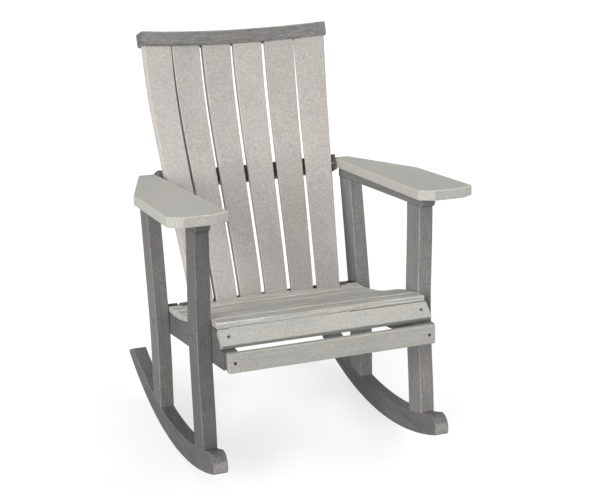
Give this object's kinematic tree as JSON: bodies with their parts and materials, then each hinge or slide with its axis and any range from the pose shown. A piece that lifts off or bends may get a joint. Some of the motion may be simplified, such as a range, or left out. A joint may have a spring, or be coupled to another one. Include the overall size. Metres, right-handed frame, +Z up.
{
  "type": "rocking adirondack chair",
  "caption": "Slatted outdoor rocking chair with a fan-shaped curved back, contoured slat seat, broad flat arms and curved runners.",
  "frame": {"origin": "on the floor, under the middle of the chair's bounding box", "axes": "+Z up, the chair faces -Y, +X to the right of a person looking at its front"},
  "size_m": [0.7998, 0.8634, 1.0441],
  "materials": {
    "dove_board": "light dove-grey plastic board, satin, finely speckled",
    "slate_board": "dark slate-grey plastic board, satin, finely speckled",
    "stainless": "plain stainless steel screws, bolts, washers and nuts"
  },
  "bodies": {
    "root": {"rocker_left": "slate_board", "rocker_right": "slate_board", "front_leg_left": "slate_board", "front_leg_right": "slate_board", "rear_leg_left": "slate_board", "rear_leg_right": "slate_board", "arm_cleat_left": "slate_board", "arm_cleat_right": "slate_board", "seat_rail_left": "slate_board", "seat_rail_right": "slate_board", "top_cap": "slate_board", "middle_back_rail": "slate_board", "lower_back_rail": "slate_board", "arm_left": "dove_board", "arm_right": "dove_board", "seat_slat_1": "dove_board", "seat_slat_2": "dove_board", "seat_slat_3": "dove_board", "seat_slat_4": "dove_board", "seat_slat_5": "dove_board", "seat_slat_6": "dove_board", "seat_slat_7": "dove_board", "seat_slat_8": "dove_board", "back_slat_1": "dove_board", "back_slat_2": "dove_board", "back_slat_3": "dove_board", "back_slat_4": "dove_board", "back_slat_5": "dove_board", "back_slat_6": "dove_board", "apron_upper": "dove_board", "apron_lower": "dove_board", "seat_slat_screws": "stainless", "apron_screws": "stainless", "middle_rail_screws": "stainless", "lower_rail_screws": "stainless", "cap_screws": "stainless", "leg_bolts": "stainless", "leg_washers": "stainless", "leg_nuts": "stainless", "rocker_screws": "stainless", "cleat_screws": "stainless", "arm_screws": "stainless", "arm_end_screws": "stainless", "rail_end_screws": "stainless"}
  },
  "joints": []
}
